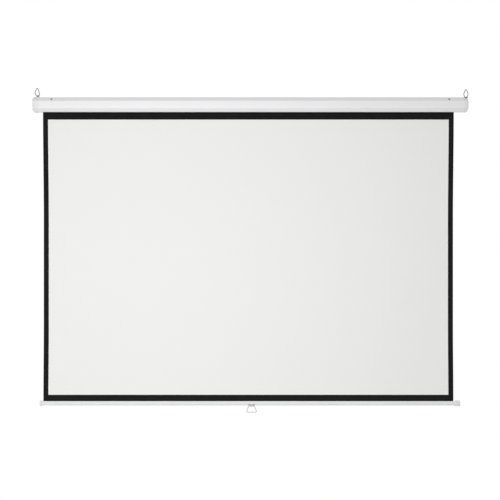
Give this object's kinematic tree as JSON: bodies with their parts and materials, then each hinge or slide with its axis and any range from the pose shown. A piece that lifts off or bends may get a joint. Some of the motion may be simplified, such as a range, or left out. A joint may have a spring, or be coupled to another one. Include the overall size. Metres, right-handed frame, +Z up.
{
  "type": "pull down projector screen",
  "caption": "Manual pull-down projection screen: octagonal wall case with hanging rings, sprung ratchet roller, black-bordered white sheet, weighted bar and pull loop.",
  "frame": {"origin": "centre of the flat back face of the case, where it lies against the wall", "axes": "+X along the case to a viewer's right, -Y out of the front towards the viewer, +Y into the wall, +Z up"},
  "size_m": [2.2066, 0.0772, 1.6435],
  "materials": {
    "case_white": "smooth satin white paint",
    "cap_white": "moulded, fine texture",
    "bar_white": "white powder coat",
    "black_cloth": "matt black coated cloth",
    "view_white": "matt white coated cloth with a fine weave",
    "zinc": "bright zinc plate",
    "dark_zinc": "dull zinc plate",
    "steel": "plain steel",
    "spring_steel": "oiled spring steel",
    "nylon": "natural nylon"
  },
  "bodies": {
    "case": {"case_shell": "case_white", "end_cap_left": "cap_white", "end_cap_right": "cap_white", "idler_bracket": "steel", "ratchet_bracket": "steel", "bracket_screw_left": "zinc", "bracket_screw_right": "zinc", "ring_lug_left": "dark_zinc", "ring_lug_right": "dark_zinc", "idler_bush": "nylon", "spring_arbor": "steel", "arbor_collar": "steel", "ratchet_wheel": "steel", "black_backing": "black_cloth", "viewing_surface": "view_white"},
    "roller": {"roller_tube": "steel", "idler_plug": "nylon", "idler_pin": "steel", "drive_plug": "nylon", "arbor_bush": "nylon", "spring_anchor": "nylon", "torsion_spring": "spring_steel", "fabric_roll": "black_cloth", "pawl_pin_upper": "zinc", "pawl_pin_lower": "zinc"},
    "pawl_upper": {"pawl_upper": "steel"},
    "pawl_lower": {"pawl_lower": "steel"},
    "bottom_bar": {"bottom_bar": "bar_white", "sheet_hem": "black_cloth", "hem_rod": "steel", "bar_cap_left": "cap_white", "bar_cap_right": "cap_white", "handle_clip": "dark_zinc", "clip_screw_left": "zinc", "clip_screw_right": "zinc"},
    "handle": {"pull_handle": "zinc"},
    "ring_left": {"hanging_ring_left": "zinc"},
    "ring_right": {"hanging_ring_right": "zinc"}
  },
  "joints": [
    {"name": "screen_travel", "type": "slide", "parent": "case", "child": "bottom_bar", "axis": [0, 0, 1], "range_m": [0, 1.4605], "deforming": ["black_backing", "viewing_surface"]},
    {"name": "roller_spin", "type": "hinge", "parent": "case", "child": "roller", "pos_m": [0, -0.0475, 0], "axis": [1, 0, 0], "range_deg": [0, 3600]},
    {"name": "pawl_upper_lift", "type": "hinge", "parent": "roller", "child": "pawl_upper", "pos_m": [1.0436, -0.03548, 0.01202], "axis": [-1, 0, 0], "range_deg": [0, 20]},
    {"name": "pawl_lower_lift", "type": "hinge", "parent": "roller", "child": "pawl_lower", "pos_m": [1.0436, -0.05952, -0.01202], "axis": [-1, 0, 0], "range_deg": [0, 20]},
    {"name": "handle_swing", "type": "hinge", "parent": "bottom_bar", "child": "handle", "pos_m": [0.006, -0.02629, -1.5264], "axis": [1, 0, 0], "range_deg": [-85, 85]},
    {"name": "ring_left_fold", "type": "hinge", "parent": "case", "child": "ring_left", "pos_m": [-1.076, -0.038, 0.0442], "axis": [1, 0, 0], "range_deg": [-75, 75]},
    {"name": "ring_right_fold", "type": "hinge", "parent": "case", "child": "ring_right", "pos_m": [1.092, -0.038, 0.0375], "axis": [1, 0, 0], "range_deg": [-75, 75]}
  ],
  "couplings": [
    {"joint": "roller_spin", "follows": "screen_travel", "rad_per_m": 43}
  ]
}
